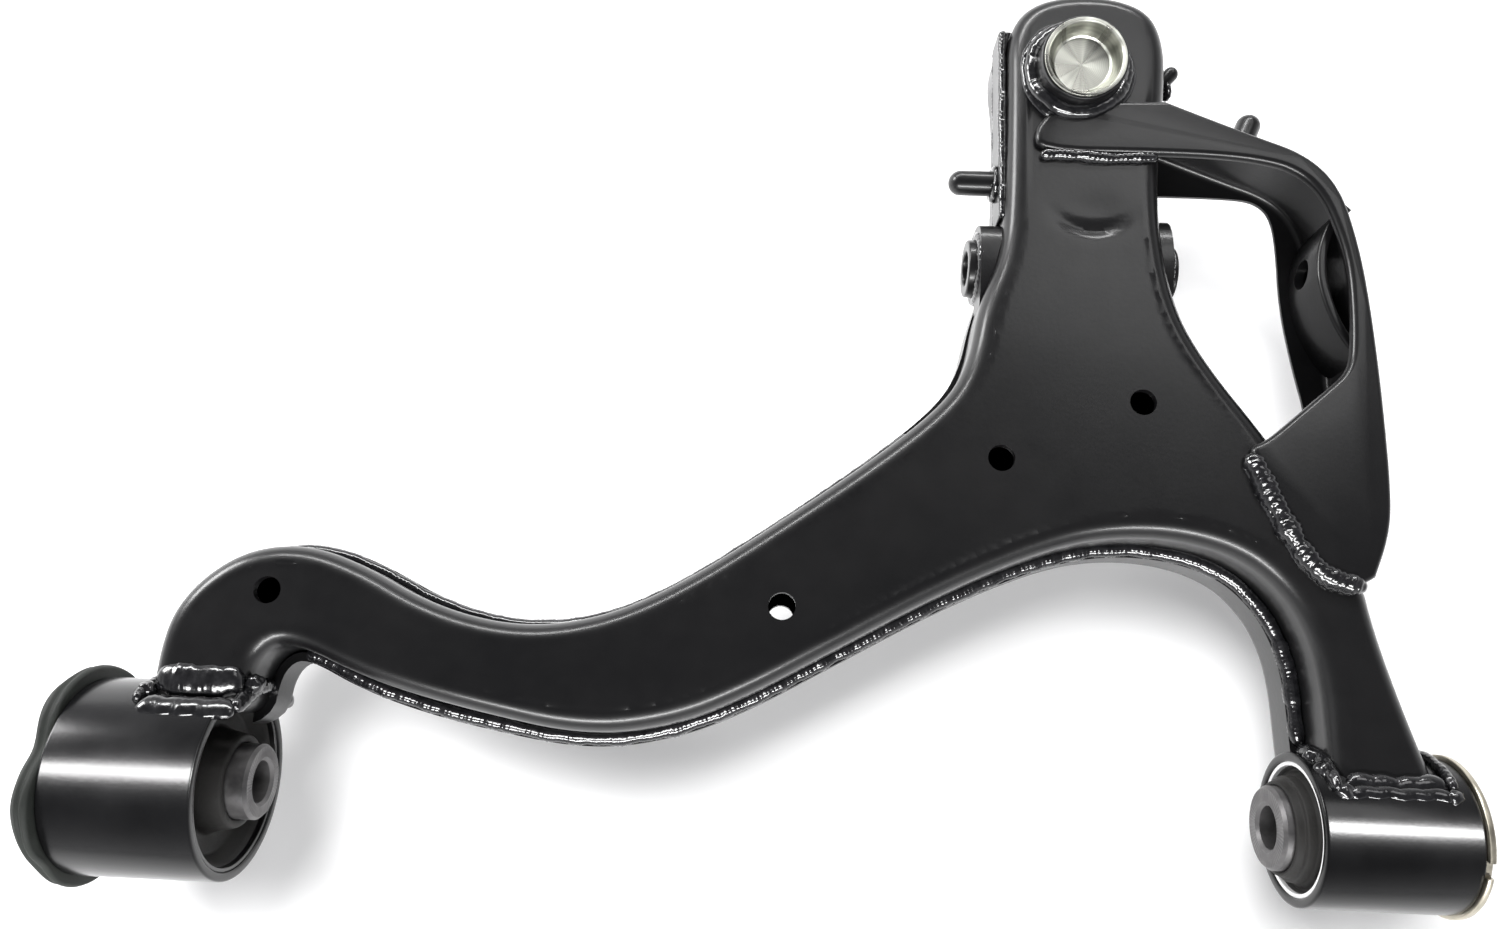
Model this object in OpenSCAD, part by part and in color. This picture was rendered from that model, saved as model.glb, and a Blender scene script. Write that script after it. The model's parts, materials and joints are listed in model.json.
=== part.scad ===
// Lower control arm: welded two-piece pressing with two rubber bushes, a ball joint,
// a cross tube for the damper bolt and a channel bracket for the stabiliser link.
// +X runs along the pivot axis, +Y from the pivots to the ball joint, +Z up.
// The origin is the middle of the front bush bore.

/* [Pressings] */
// Height of the box section over both pressings
box_h = 44; // [36:1:52]
// Sheet thickness of the pressings
sheet_t = 3.5; // [3:0.25:4.5]
// Outer radius of the pressed edges
edge_r = 7; // [5:0.5:9]
// Height of the lower pressing's side walls above the bottom
lap_h = 20; // [14:1:22]
// Radius of the round holes in both pressings
drain_r = 5.3; // [4:0.1:6]

/* [Rear bush] */
// Distance from the front bush to the rear bush
bush_gap = 465; // [460:1:470]
// Outer radius of the rear housing
rear_r = 38; // [37:0.5:39]
// Length of the rear housing
rear_len = 56.6; // [54:0.2:60]
// Radius of the rear inner sleeve
rear_sleeve_r = 14.6; // [13:0.1:16]

/* [Front bush] */
// Outer radius of the front housing
front_r = 29; // [28:0.5:30]
// Length of the front housing
front_len = 56.8; // [54:0.2:60]
// Radius of the front inner sleeve
front_sleeve_r = 15.9; // [14:0.1:16.5]

/* [Bush details] */
// Wall thickness of both housings
housing_t = 3.6; // [3:0.1:4.5]
// Wall thickness of both outer sleeves
can_t = 1.6; // [1.2:0.1:2.2]
// Radius of the bolt bores
bolt_r = 8.2; // [8.1:0.05:8.5]
// Length that each inner sleeve stands out of its housing
sleeve_out = 9.3; // [6:0.1:12]
// Running gap between an inner sleeve and its rubber
run_gap = 0.05; // [0.03:0.01:0.09]

/* [Ball joint] */
// Ball centre, sideways
ball_x = -111; // [-113:0.5:-109]
// Ball centre, distance from the pivot axis
ball_y = 308.5; // [306:0.5:310]
// Ball centre height above the pivot axis
ball_z = 4; // [2:0.5:6]
// Lean of the joint axis toward the pivots
ball_lean = 7; // [5:0.5:9]
// Radius of the ball
ball_r = 13.5; // [13:0.1:13.8]
// Outer radius of the joint housing
cup_r = 18; // [17.5:0.1:18.5]
// Height of the housing rim above the ball centre
rim_h = 32; // [30:0.5:34]
// Depth of the dished cap
dish_d = 7; // [5:0.5:8]

/* [Damper bolt tube] */
// Distance of the tube from the pivot axis
tube_y = 226; // [224:0.5:228]
// Outer radius of the tube
tube_r = 12; // [11:0.5:13]
// Bore radius of the tube
tube_bore = 7.2; // [6:0.1:8]

/* [Stabiliser bracket] */
// Thickness of the bracket's flanges and web
bracket_t = 3.5; // [3:0.25:4]
// Height of the bracket's underside above the pivot axis
channel_z = -12; // [-16:1:-8]
// Radius of the link bolt hole
link_r = 6.2; // [5.8:0.1:6.6]
// Radius of the locating pins
pin_r = 5.2; // [4.5:0.1:6]

/* [Hidden] */

paint = [0.06, 0.06, 0.07];
rubber = [0.12, 0.11, 0.11];
steel = [0.55, 0.55, 0.56];
bright = [0.80, 0.80, 0.80];

top_z = box_h / 2;
// Depth that the upper pressing's walls reach down inside the lower one.
lap_cover = 6;
slack = 1;
smooth_fn = 128;
rear_x = -bush_gap;

// Corner points of the arm in plan, clockwise from the rear housing.
outer_edge = [[-467, 24], [-467, 50], [-463, 66], [-452, 80], [-436, 90], [-415, 92.5],
    [-392, 85.5], [-366, 72], [-340, 65], [-316, 64.5], [-290, 71], [-262, 86],
    [-228, 110], [-193, 136], [-165, 160], [-155, 178], [-151, 203], [-142, 226],
    [-140, 250], [-139, 300]];
neck_end = [[-139, 326], [-132, 340], [-116, 346.5], [-94, 346.5], [-78, 340],
    [-72, 326], [-72, 306]];
right_edge = [[-76, 271], [-77, 240], [-72, 205], [-60, 181], [-36, 149], [-14, 114],
    [-3, 92], [-1, 80], [4, 61], [12, 36], [18, 20], [20, 6]];
inner_edge = [[-20, 6], [-22.5, 30], [-23.5, 52], [-26.5, 69], [-34, 85], [-48, 99],
    [-70, 106.5], [-96, 107.5], [-122, 102], [-162, 84], [-212, 55], [-240, 39],
    [-266, 27.5], [-300, 21], [-345, 28], [-375, 35], [-396, 42.5], [-411, 50],
    [-422, 52], [-430, 43], [-431, 24]];
arm_plan = chaikin(concat(outer_edge, neck_end, right_edge, inner_edge));

// Bracket in plan: outer edge from the neck round to the front leg.
loop_edge = smooth_open([[-75, 293], [-64, 288.5], [-40, 279], [-18, 271], [-5, 257],
    [1, 232], [4, 205], [6, 165], [6.5, 125], [4, 110], [-2, 95]]);
// Edge of the top flange, back from the front leg to the neck.
flange_edge = [[-8, 91.5], [-17, 94], [-23.5, 99.5], [-27, 105], [-33.5, 117], [-43, 134.5],
    [-48, 144.5], [-40.5, 147.3], [-27.5, 158.8], [-12.5, 172.2], [-8.6, 176.2], [-6, 181],
    [-4.8, 188], [-4, 202], [-4, 218], [-5.5, 230], [-8.4, 241], [-11.5, 250], [-16, 257],
    [-22, 262], [-30, 265.5], [-48, 268.2], [-80, 268.8], [-128, 268], [-130, 278],
    [-122, 288], [-100, 292]];
// Edge of the bottom flange, back from the front leg to the neck.
lower_edge = [[-14, 100], [-7, 135], [-8.5, 169], [-13, 190], [-17, 217], [-17, 246],
    [-19, 260], [-25, 266], [-36, 267.5], [-75, 267.5]];

drain_points = [[-426, 73], [-227, 75], [-143, 137], [-87, 162]];

function unit(v) = v / norm(v);
function left_of(v) = [-v[1], v[0]];
function mix(a, b, t) = a + (b - a) * t;
// One pass of corner cutting on a closed outline.
function chaikin(p) = [for (i = [0:len(p) - 1]) for (t = [0.25, 0.75])
    mix(p[i], p[(i + 1) % len(p)], t)];
// One pass of corner cutting that keeps both ends.
function smooth_open(p) = concat([p[0]], [for (i = [0:len(p) - 2]) for (t = [0.25, 0.75])
    mix(p[i], p[i + 1], t)], [p[len(p) - 1]]);
// Closed clockwise outline moved inward by d.
function inset(p, d) = [for (i = [0:len(p) - 1])
    let (n = len(p),
         before = -left_of(unit(p[i] - p[(i + n - 1) % n])),
         after = -left_of(unit(p[(i + 1) % n] - p[i])),
         middle = unit(before + after))
    p[i] + middle * d / max(0.5, middle * after)];
// Open line moved to the right of its direction by d.
function beside(p, d) = [for (i = [0:len(p) - 1])
    let (a = p[max(0, i - 1)], b = p[min(len(p) - 1, i + 1)])
    p[i] - left_of(unit(b - a)) * d];
function backward(p) = [for (i = [len(p) - 1:-1:0]) p[i]];

// Flat layer of a plan between two heights; side -1 mirrors it to below the middle plane.
module layer(plan, low, high, side) {
    translate([0, 0, side > 0 ? low : -high]) linear_extrude(high - low) polygon(plan);
}

// Solid block from rim to top with an edge of radius r, built up in nested layers.
module domed_block(plan, rim, top, r, side) {
    steps = 3;
    layer(plan, rim, top - r, side);
    for (i = [0:steps - 1])
        layer(inset(plan, r * (1 - cos(90 * (i + 0.5) / steps))), rim,
            top - r + r * sin(90 * (i + 1) / steps), side);
}

// Pressed tray with a closed top and walls down to the rim.
module tray(plan, rim, top, r, side) {
    difference() {
        domed_block(plan, rim, top, r, side);
        domed_block(inset(plan, sheet_t), rim - slack, top - sheet_t, r - sheet_t, side);
    }
}

module along_x(x0, length, r) {
    translate([x0, 0, 0]) rotate([0, 90, 0]) cylinder(h = length, r = r, $fn = smooth_fn);
}

module tube_along_x(x0, length, r, bore) {
    difference() {
        along_x(x0, length, r);
        along_x(x0 - slack, length + 2 * slack, bore);
    }
}

// Frame of the ball joint: origin at the ball centre, +Z along the leaning axis.
module at_ball() {
    translate([ball_x, ball_y, ball_z]) rotate([ball_lean, 0, 0]) children();
}

// Space taken by the ball joint housing in its own frame.
module cup_space() {
    at_ball() translate([0, 0, -60]) cylinder(h = 120, r = cup_r, $fn = smooth_fn);
}

// Opening in the lower sheet through which the stud and its boot pass.
boot_room_r = 27;

module boot_space() {
    at_ball() translate([0, 0, -60]) cylinder(h = 46, r = boot_room_r, $fn = smooth_fn);
}

module damper_space() {
    translate([0, tube_y, 0]) along_x(-170, 130, tube_r);
}

module housing_space() {
    along_x(rear_x - rear_len / 2, rear_len, rear_r);
    along_x(-front_len / 2, front_len, front_r);
}

module drains() {
    for (p = drain_points)
        translate([p[0], p[1], -box_h]) cylinder(h = 2 * box_h, r = drain_r, $fn = 48);
}

module pressing_cuts() {
    housing_space();
    cup_space();
    damper_space();
    drains();
}

module upper_pressing() {
    color(paint) difference() {
        tray(arm_plan, lap_h - top_z - lap_cover, top_z, edge_r, 1);
        pressing_cuts();
    }
}

module lower_pressing() {
    color(paint) difference() {
        tray(inset(arm_plan, -sheet_t), top_z - lap_h, top_z, edge_r, -1);
        pressing_cuts();
        boot_space();
    }
}

// Everything inside the outer faces of both pressings.
module arm_space() {
    translate([0, 0, -top_z - slack]) linear_extrude(lap_h + slack + slack)
        polygon(inset(arm_plan, -sheet_t));
    translate([0, 0, -top_z]) linear_extrude(box_h) polygon(arm_plan);
}

plate_x = -142.2;
plate_y0 = 243;
plate_len = 88;
plate_z0 = 0;
plate_h = 14;

module neck_side_plate() {
    color(paint) difference() {
        translate([plate_x, plate_y0, plate_z0]) cube([8, plate_len, plate_h]);
        arm_space();
    }
}

tube_x0 = -154;
tube_len = 87;

module damper_tube() {
    color(paint) translate([0, tube_y, 0]) tube_along_x(tube_x0, tube_len, tube_r, tube_bore);
}

module doubler(x0, y0, y1, t) {
    color(paint) difference() {
        translate([x0, 0, 0]) rotate([90, 0, 90]) linear_extrude(t)
            polygon(chaikin(chaikin([[y0, -6], [y0 + 6, -12], [tube_y + 8, -16], [y1, -12],
                [y1, 10], [tube_y + 8, 17], [y0 + 6, 14], [y0, 5]])));
        arm_space();
        damper_space();
    }
}

module left_tube_doubler() {
    doubler(-150, 199, 243, 10);
}

module right_tube_doubler() {
    doubler(-80.5, 205, 248, 10);
}

bracket_hollow = concat(beside(loop_edge, bracket_t), [[-20, 90], [-100, 90], [-100, 289]]);

module stabiliser_bracket() {
    color(paint) difference() {
        union() {
            translate([0, 0, top_z]) linear_extrude(bracket_t) polygon(concat(loop_edge, flange_edge));
            difference() {
                translate([0, 0, channel_z]) linear_extrude(top_z - channel_z)
                    polygon(concat(loop_edge, lower_edge));
                translate([0, 0, channel_z + bracket_t]) linear_extrude(box_h) polygon(bracket_hollow);
                arm_space();
            }
        }
        cup_space();
    }
}

link_y = 227;
link_z = 3.5;
link_t = 4;
link_top = 18;

// Plan curve of the bowed wall, from the web and back to it.
link_bow = smooth_open([[3, 183], [-4, 191], [-9.8, 203], [-13.1, 217], [-13.1, 226],
    [-11.8, 235], [-7, 246], [0, 253]]);

// Bowed wall that stands on the bottom flange and carries the link bolt.
module link_plate() {
    floor_z = channel_z + bracket_t;
    color(paint) difference() {
        intersection() {
            translate([0, 0, floor_z]) linear_extrude(link_top - floor_z)
                polygon(concat(link_bow, backward(beside(link_bow, link_t))));
            translate([0, 0, floor_z]) linear_extrude(link_top - floor_z) polygon(bracket_hollow);
        }
        translate([0, link_y, link_z]) along_x(-20, 20, link_r);
    }
}

// Round-ended pin pointing along +Z.
module round_pin(length, r) {
    rotate_extrude($fn = 48) intersection() {
        union() {
            square([r, length - r]);
            translate([0, length - r]) circle(r = r, $fn = 48);
        }
        square([r, length]);
    }
}

side_pin_y = 263;
side_pin_z = 5.5;
side_pin_len = 20;

module side_pin() {
    color(paint) translate([plate_x, side_pin_y, side_pin_z]) rotate([0, -90, 0])
        round_pin(side_pin_len, pin_r);
}

bracket_pin_at = [-38.3, 278.1, 0];
bracket_pin_turn = -22;

module bracket_pin() {
    color(paint) difference() {
        translate(bracket_pin_at) rotate([-90, 0, bracket_pin_turn]) round_pin(26, pin_r);
        translate([0, 0, -top_z]) linear_extrude(box_h)
            polygon(concat(loop_edge, [[-80, 95], [-80, 290]]));
    }
}

module neck_stud() {
    color(paint) difference() {
        translate([-74, 308, 5]) rotate([-76, 0, -42]) round_pin(15, 3.2);
        arm_space();
    }
}

rear_bore = rear_r - housing_t;
front_bore = front_r - housing_t;
rear_can_r = rear_bore - can_t;
front_can_r = front_bore - can_t;
can_inset = 0.8;

module rear_housing() {
    color(paint) tube_along_x(rear_x - rear_len / 2, rear_len, rear_r, rear_bore);
}

module front_housing() {
    color(paint) tube_along_x(-front_len / 2, front_len, front_r, front_bore);
}

module rear_outer_sleeve() {
    color(steel) tube_along_x(rear_x - rear_len / 2, rear_len - can_inset, rear_bore, rear_can_r);
}

flange_t = 2.4;
flange_r = front_r + 2.2;

module front_outer_sleeve() {
    color(steel) {
        tube_along_x(can_inset - front_len / 2, front_len - can_inset + flange_t / 2,
            front_bore, front_can_r);
        difference() {
            tube_along_x(front_len / 2, flange_t, flange_r, front_can_r);
            for (a = [20, 200]) rotate([a, 0, 0])
                translate([front_len / 2 - slack, -3, front_r - 1]) cube([flange_t + 2 * slack, 6, 6]);
        }
    }
}

// Rubber of a bush: ring with dished faces, turned about the bore, along +Z.
module rubber_ring(r, bore, length, dish, collar_r, collar_out) {
    rotate_extrude($fn = smooth_fn) polygon([[bore, -length / 2 - collar_out],
        [collar_r, -length / 2 - collar_out], [collar_r + 1.5, -length / 2 + dish],
        [r - 3, -length / 2 + dish], [r, -length / 2 + 2], [r, length / 2 - 2],
        [r - 3, length / 2 - dish], [collar_r + 1.5, length / 2 - dish],
        [collar_r, length / 2 + collar_out], [bore, length / 2 + collar_out]]);
}

// Kidney-shaped void through a bush, on the +X side of the turned ring.
module kidney(r, width, spread) {
    rotate([0, 0, -spread]) rotate_extrude(angle = 2 * spread, $fn = smooth_fn)
        translate([r, -60]) square([width, 120]);
}

module rear_rubber() {
    color(rubber) translate([rear_x, 0, 0]) rotate([0, 90, 0]) difference() {
        rubber_ring(rear_can_r, rear_sleeve_r + run_gap, rear_len, 9, rear_sleeve_r + 4, 1);
        for (a = [90, 270]) rotate([0, 0, a]) kidney(rear_sleeve_r + 8, 5, 34);
    }
}

module front_rubber() {
    color(rubber) rotate([0, 90, 0]) difference() {
        rubber_ring(front_can_r, front_sleeve_r + run_gap, front_len, 4, front_sleeve_r + 2.6, 3);
        for (a = [90, 270]) rotate([0, 0, a]) kidney(front_sleeve_r + 4, 2.6, 30);
    }
}

// Lobed rubber stop at the far end of the rear bush.
stop_r = 43.3;
stop_bore = 19;
// Angle, depth and half width of each flat in the stop's rim.
stop_flats = [[72, 7.5, 20], [147, 2, 14], [252, 7.5, 20]];

function turn_gap(a, b) = abs((a - b + 540) % 360 - 180);
function flat_depth(a, i = 0) = i == len(stop_flats) ? 0 :
    stop_flats[i][1] * exp(-pow(turn_gap(a, stop_flats[i][0]) / stop_flats[i][2], 2))
    + flat_depth(a, i + 1);

module rear_end_flange() {
    outline = [for (a = [0:6:354]) (stop_r - flat_depth(a)) * [sin(a), cos(a)]];
    color(rubber) translate([rear_x - rear_len / 2, 0, 0]) rotate([0, -90, 0]) difference() {
        union() {
            linear_extrude(8) polygon(outline);
            translate([0, 0, 8]) linear_extrude(5) polygon(outline * 0.93);
            translate([0, 0, 13]) linear_extrude(3) polygon(outline * 0.80);
        }
        translate([0, 0, -slack]) cylinder(h = 30, r = stop_bore, $fn = smooth_fn);
    }
}

module inner_sleeve(centre, length, r) {
    color(steel) translate([centre, 0, 0]) rotate([0, 90, 0]) rotate_extrude($fn = smooth_fn)
        polygon([[bolt_r, -length / 2 + 1], [bolt_r + 1, -length / 2], [r - 1, -length / 2],
            [r, -length / 2 + 1], [r, length / 2 - 1], [r - 1, length / 2],
            [bolt_r + 1, length / 2], [bolt_r, length / 2 - 1]]);
}

module rear_inner_sleeve() {
    inner_sleeve(rear_x, rear_len + 2 * sleeve_out, rear_sleeve_r);
}

module front_inner_sleeve() {
    inner_sleeve(0, front_len + 2 * sleeve_out, front_sleeve_r);
}

shell_r = cup_r - 2.4;
seat_r = cup_r - 1.5;
cap_z = ball_r + 2;
cup_low = -14;
shell_low = -7;
neck_r = 7.5;

module ball_housing() {
    color(paint) at_ball() rotate_extrude($fn = smooth_fn) polygon([[13.9, cup_low],
        [cup_r + 3, cup_low], [cup_r + 3, cup_low + 3], [cup_r, cup_low + 6], [cup_r, rim_h],
        [seat_r, rim_h], [seat_r, cap_z], [shell_r, cap_z], [shell_r, shell_low - 2.2],
        [12.3, shell_low - 2.2]]);
}

// Turned cap that closes the housing, dished from above.
module dished_cap() {
    rim_w = 0.9;
    floor_r = 11;
    color(bright) at_ball() rotate_extrude($fn = smooth_fn) polygon([[0, cap_z], [seat_r, cap_z],
        [seat_r, rim_h], [seat_r + 0.6, rim_h + 0.01], [seat_r + 0.6, rim_h + 0.6],
        [seat_r - rim_w, rim_h + 0.9], [seat_r - rim_w - 0.6, rim_h], [floor_r, rim_h - dish_d],
        [0, rim_h - dish_d]]);
}

module bearing_shell() {
    color([0.85, 0.84, 0.78]) at_ball() difference() {
        translate([0, 0, shell_low - 2.2])
            cylinder(h = cap_z - shell_low + 2.2, r = shell_r, $fn = smooth_fn);
        sphere(r = ball_r + run_gap, $fn = smooth_fn);
        translate([0, 0, shell_low - 3.2]) cylinder(h = 3.5, r1 = 12.6, r2 = 11.3, $fn = smooth_fn);
    }
}

boot_top = cup_low;
waist_z = -24;
boot_end = -38;
clip_w = 2.4;

module boot_clip() {
    color(steel) at_ball() rotate_extrude($fn = smooth_fn) translate([cup_r + 3, cup_low + 0.4])
        square([1.2, clip_w]);
}

module upper_boot() {
    color(rubber) at_ball() rotate_extrude($fn = 64) polygon([[16.4, boot_top], [20.6, boot_top],
        [21.4, -17], [20.4, -20], [18.1, waist_z + 1.2], [16.3, waist_z + 1.2], [18.4, -19.6],
        [19.2, -17.2]]);
}

module boot_waist_ring() {
    color(rubber) at_ball() rotate_extrude($fn = 64) translate([16.3, waist_z - 1.15])
        square([1.8, 2.3]);
}

module lower_boot() {
    color(rubber) at_ball() rotate_extrude($fn = 64) polygon([[16.3, waist_z - 1.2],
        [18.1, waist_z - 1.2], [18.6, -28], [17.4, -32], [12.4, boot_end], [10.4, boot_end],
        [15.6, -31.6], [16.4, -28]]);
}

module boot_neck_clip() {
    color(rubber) at_ball() rotate_extrude($fn = 64) translate([9.05, boot_end - 4])
        square([3.4, 4]);
}

stud_end = -82;
thread_r = 7;

module ball_stud() {
    color(steel) at_ball() union() {
        sphere(r = ball_r, $fn = smooth_fn);
        rotate_extrude($fn = smooth_fn) polygon([[0, 0], [neck_r, 0], [neck_r, -22], [9, -30],
            [9, -44], [thread_r + 0.4, -60], [thread_r - 1, -61], [thread_r - 1, -63],
            [thread_r, -64], [thread_r, stud_end + 1], [thread_r - 1, stud_end], [0, stud_end]]);
    }
}

upper_pressing();
lower_pressing();
neck_side_plate();
damper_tube();
left_tube_doubler();
right_tube_doubler();
stabiliser_bracket();
link_plate();
side_pin();
bracket_pin();
neck_stud();
rear_housing();
rear_outer_sleeve();
rear_rubber();
rear_end_flange();
rear_inner_sleeve();
front_housing();
front_outer_sleeve();
front_rubber();
front_inner_sleeve();
ball_housing();
dished_cap();
bearing_shell();
boot_clip();
upper_boot();
boot_waist_ring();
lower_boot();
boot_neck_clip();
ball_stud();
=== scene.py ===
"""Looks of the control arm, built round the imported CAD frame. Lengths are in metres."""
import json
import math

import bmesh
import bpy
import numpy as np
from mathutils import Matrix, Vector, noise


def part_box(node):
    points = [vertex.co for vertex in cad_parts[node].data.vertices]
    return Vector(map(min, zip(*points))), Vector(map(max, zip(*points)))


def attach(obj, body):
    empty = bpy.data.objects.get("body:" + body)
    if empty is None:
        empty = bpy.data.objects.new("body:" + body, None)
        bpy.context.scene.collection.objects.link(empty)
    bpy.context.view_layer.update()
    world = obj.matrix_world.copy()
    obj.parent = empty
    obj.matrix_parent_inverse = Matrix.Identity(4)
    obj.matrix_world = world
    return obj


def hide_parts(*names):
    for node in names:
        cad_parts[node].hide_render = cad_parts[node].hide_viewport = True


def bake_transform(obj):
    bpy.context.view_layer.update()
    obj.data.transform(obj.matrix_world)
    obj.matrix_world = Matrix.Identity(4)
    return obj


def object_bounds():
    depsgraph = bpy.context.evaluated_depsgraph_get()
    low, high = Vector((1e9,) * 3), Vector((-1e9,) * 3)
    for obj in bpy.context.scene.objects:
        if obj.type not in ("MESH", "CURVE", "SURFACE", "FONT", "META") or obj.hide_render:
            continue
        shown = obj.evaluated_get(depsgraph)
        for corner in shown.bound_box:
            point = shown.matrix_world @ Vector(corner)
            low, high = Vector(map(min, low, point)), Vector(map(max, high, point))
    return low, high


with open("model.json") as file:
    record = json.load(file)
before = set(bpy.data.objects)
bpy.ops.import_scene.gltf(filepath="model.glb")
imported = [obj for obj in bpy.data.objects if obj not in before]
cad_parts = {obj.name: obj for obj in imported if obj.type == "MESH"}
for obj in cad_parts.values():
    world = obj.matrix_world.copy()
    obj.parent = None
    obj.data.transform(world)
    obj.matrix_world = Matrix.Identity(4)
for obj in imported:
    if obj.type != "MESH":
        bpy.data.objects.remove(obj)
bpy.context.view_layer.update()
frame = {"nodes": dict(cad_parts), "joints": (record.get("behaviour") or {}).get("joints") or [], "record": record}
MM = 0.001

# ---- sizes from the frame


def mm_box(node):
    low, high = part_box(node)
    return np.array(low) / MM, np.array(high) / MM


UPPER_RIM, TOP = (corner[2] for corner in mm_box("upper_pressing"))
BOTTOM, LAP_Z = (corner[2] for corner in mm_box("lower_pressing"))
SHEET = 3.5
REAR_LOW, REAR_HIGH = mm_box("rear_housing")
FRONT_LOW, FRONT_HIGH = mm_box("front_housing")
REAR_X = (REAR_LOW[0] + REAR_HIGH[0]) / 2
REAR_R = (REAR_HIGH[1] - REAR_LOW[1]) / 2
REAR_LEN = REAR_HIGH[0] - REAR_LOW[0]
FRONT_R = (FRONT_HIGH[1] - FRONT_LOW[1]) / 2
FRONT_LEN = FRONT_HIGH[0] - FRONT_LOW[0]
WALL = 3.6
CAN = 1.6
BOLT_R = 8.2
SLEEVE_OUT = 9.3
REAR_SLEEVE_R = 14.6
FRONT_SLEEVE_R = 15.9
TUBE_LOW, TUBE_HIGH = mm_box("damper_tube")
TUBE = (TUBE_LOW + TUBE_HIGH) / 2
TUBE_R = (TUBE_HIGH[1] - TUBE_LOW[1]) / 2
TUBE_LEN = TUBE_HIGH[0] - TUBE_LOW[0]


def named(rows, name):
    return next(row for row in rows if row["name"] == name)


BALL = np.array(named(frame["joints"], "stud_swing")["pos_m"]) / MM
STUD_DOWN = Vector(named(frame["joints"], "stud_spin")["axis"]).normalized()
CUP_R = 18.0
BOOT_ROOM = 27.0
RIM_H = 32.0

# ---- mesh helpers


def object_from(name, bm):
    """An object in the scene from a bmesh in millimetres."""
    bmesh.ops.recalc_face_normals(bm, faces=bm.faces)
    bmesh.ops.scale(bm, vec=(MM, MM, MM), verts=bm.verts)
    mesh = bpy.data.meshes.new(name)
    bm.to_mesh(mesh)
    bm.free()
    piece = bpy.data.objects.new(name, mesh)
    bpy.context.scene.collection.objects.link(piece)
    return piece


def finish_mesh(name, bm, material, body="arm", smooth_angle=40, node=None):
    """A visible piece with its material, slot and body, which stands for a CAD node if one is named."""
    piece = object_from(name, bm)
    shade(piece, smooth_angle)
    piece.data.materials.append(material)
    if body:
        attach(piece, body)
    if node:
        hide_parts(node)
    return piece


def shade(piece, angle):
    mesh = piece.data
    mesh.polygons.foreach_set("use_smooth", [True] * len(mesh.polygons))
    mesh.set_sharp_from_angle(angle=math.radians(angle))


def loft(bm, rings, cap=(True, True)):
    """Joins closed rings of equal length with quads; optional end caps."""
    rows = [[bm.verts.new(p) for p in ring] for ring in rings]
    count = len(rows[0])
    for a, b in zip(rows, rows[1:]):
        for i in range(count):
            j = (i + 1) % count
            bm.faces.new((a[i], a[j], b[j], b[i]))
    if cap[0]:
        bm.faces.new(rows[0])
    if cap[1]:
        bm.faces.new(list(reversed(rows[-1])))
    return rows


def axis_frame(origin, direction):
    """Matrix whose +Z runs along direction from origin (millimetres)."""
    rot = Vector(direction).normalized().to_track_quat("Z", "Y").to_matrix().to_4x4()
    return Matrix.Translation(Vector(origin)) @ rot


def lathe(profile, place, turns=96, closed=True, warp=None):
    """Turns a profile of (radius, height) about +Z of place; a closed profile makes a ring."""
    bm = bmesh.new()
    rows = []
    for k in range(turns):
        a = 2 * math.pi * k / turns
        row = []
        for r, h in profile:
            rr, hh = (r, h) if warp is None else warp(r, h, a)
            row.append(bm.verts.new(place @ Vector((rr * math.cos(a), rr * math.sin(a), hh))))
        rows.append(row)
    count = len(profile)
    last = count if closed else count - 1
    for k in range(turns):
        a, b = rows[k], rows[(k + 1) % turns]
        for i in range(last):
            j = (i + 1) % count
            bm.faces.new((a[i], a[j], b[j], b[i]))
    bmesh.ops.remove_doubles(bm, verts=bm.verts, dist=1e-5)
    bmesh.ops.dissolve_degenerate(bm, edges=bm.edges, dist=1e-6)
    return bm


def rounded(profile, radius, steps=5, closed=True):
    """Rounds the corners of a profile of points with the given radius (or one per point)."""
    out = []
    count = len(profile)
    for i, p in enumerate(profile):
        r = radius[i] if isinstance(radius, (list, tuple)) else radius
        if r <= 0 or (not closed and i in (0, count - 1)):
            out.append(tuple(p))
            continue
        p = np.array(p, float)
        a = np.array(profile[i - 1], float) - p
        b = np.array(profile[(i + 1) % count], float) - p
        la, lb = np.linalg.norm(a), np.linalg.norm(b)
        cosine = np.clip(np.dot(a, b) / (la * lb), -1, 1)
        half = math.acos(cosine) / 2
        cut = min(r / max(math.tan(half), 1e-6), 0.49 * la, 0.49 * lb)
        pa, pb = p + a / la * cut, p + b / lb * cut
        for s in range(steps + 1):
            t = s / steps
            q = (1 - t) ** 2 * pa + 2 * t * (1 - t) * p + t * t * pb
            out.append(tuple(q))
    return out


def cut_with(piece, cutters, smooth_angle):
    """Cuts the cutter objects out of a piece, shades it again and removes the cutters."""
    for cutter in cutters:
        mod = piece.modifiers.new("cut", "BOOLEAN")
        mod.operation = "DIFFERENCE"
        mod.solver = "MANIFOLD"
        mod.object = cutter
    graph = bpy.context.evaluated_depsgraph_get()
    mesh = bpy.data.meshes.new_from_object(piece.evaluated_get(graph))
    old = piece.data
    piece.modifiers.clear()
    piece.data = mesh
    bpy.data.meshes.remove(old)
    for cutter in cutters:
        bpy.data.objects.remove(cutter, do_unlink=True)
    shade(piece, smooth_angle)


def cutter_from(bm):
    return object_from("cutter", bm)


def rod_cutter(origin, direction, low, high, radius, turns=96):
    place = axis_frame(origin, direction)
    profile = [(0, low), (radius, low), (radius, high), (0, high)]
    return cutter_from(lathe(profile, place, turns, closed=False))


# ---- plan of the arm


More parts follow.
